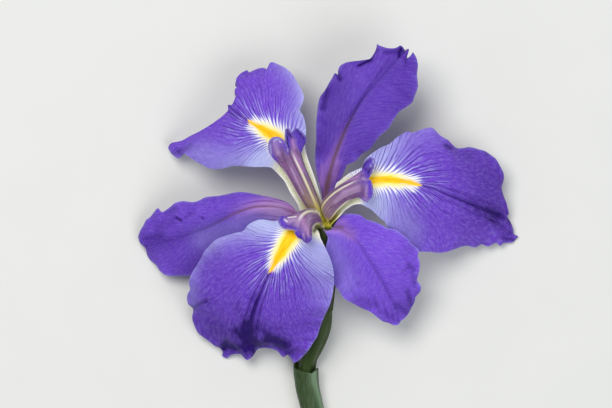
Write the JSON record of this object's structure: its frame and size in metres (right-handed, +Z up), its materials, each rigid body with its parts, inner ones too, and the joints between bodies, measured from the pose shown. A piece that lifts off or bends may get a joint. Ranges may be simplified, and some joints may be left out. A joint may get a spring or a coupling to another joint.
{
  "type": "violet water iris flower on a cut stem",
  "caption": "Picked violet water iris, lying on its cut stem with the open flower facing up: falls with yellow signals, spreading standards, crested style arms, ribbed pod and sheath.",
  "frame": {"origin": "middle of the whole object's box, on the surface that it lies on", "axes": "+Y from the cut end of the stem towards the flower, +X to the flower's right seen from above, +Z up out of the open flower"},
  "size_m": [0.1263, 0.1832, 0.0453],
  "materials": {
    "fall_petal": "matte",
    "standard_petal": "matte",
    "style": "matte",
    "stamen": "matte",
    "pod": "satin",
    "tube": "satin",
    "stem": "satin",
    "sheath": "matte"
  },
  "bodies": {
    "root": {"stem": "stem", "spathe_bract_outer": "sheath", "spathe_bract_inner": "sheath", "ovary": "pod", "floral_tube": "tube", "fall_right": "fall_petal", "fall_upper_left": "fall_petal", "fall_lower": "fall_petal", "standard_top": "standard_petal", "standard_left": "standard_petal", "standard_lower_right": "standard_petal", "style_arm_right": "style", "style_arm_upper_left": "style", "style_arm_lower": "style", "stamen_right": "stamen", "stamen_upper_left": "stamen", "stamen_lower": "stamen"}
  },
  "joints": []
}
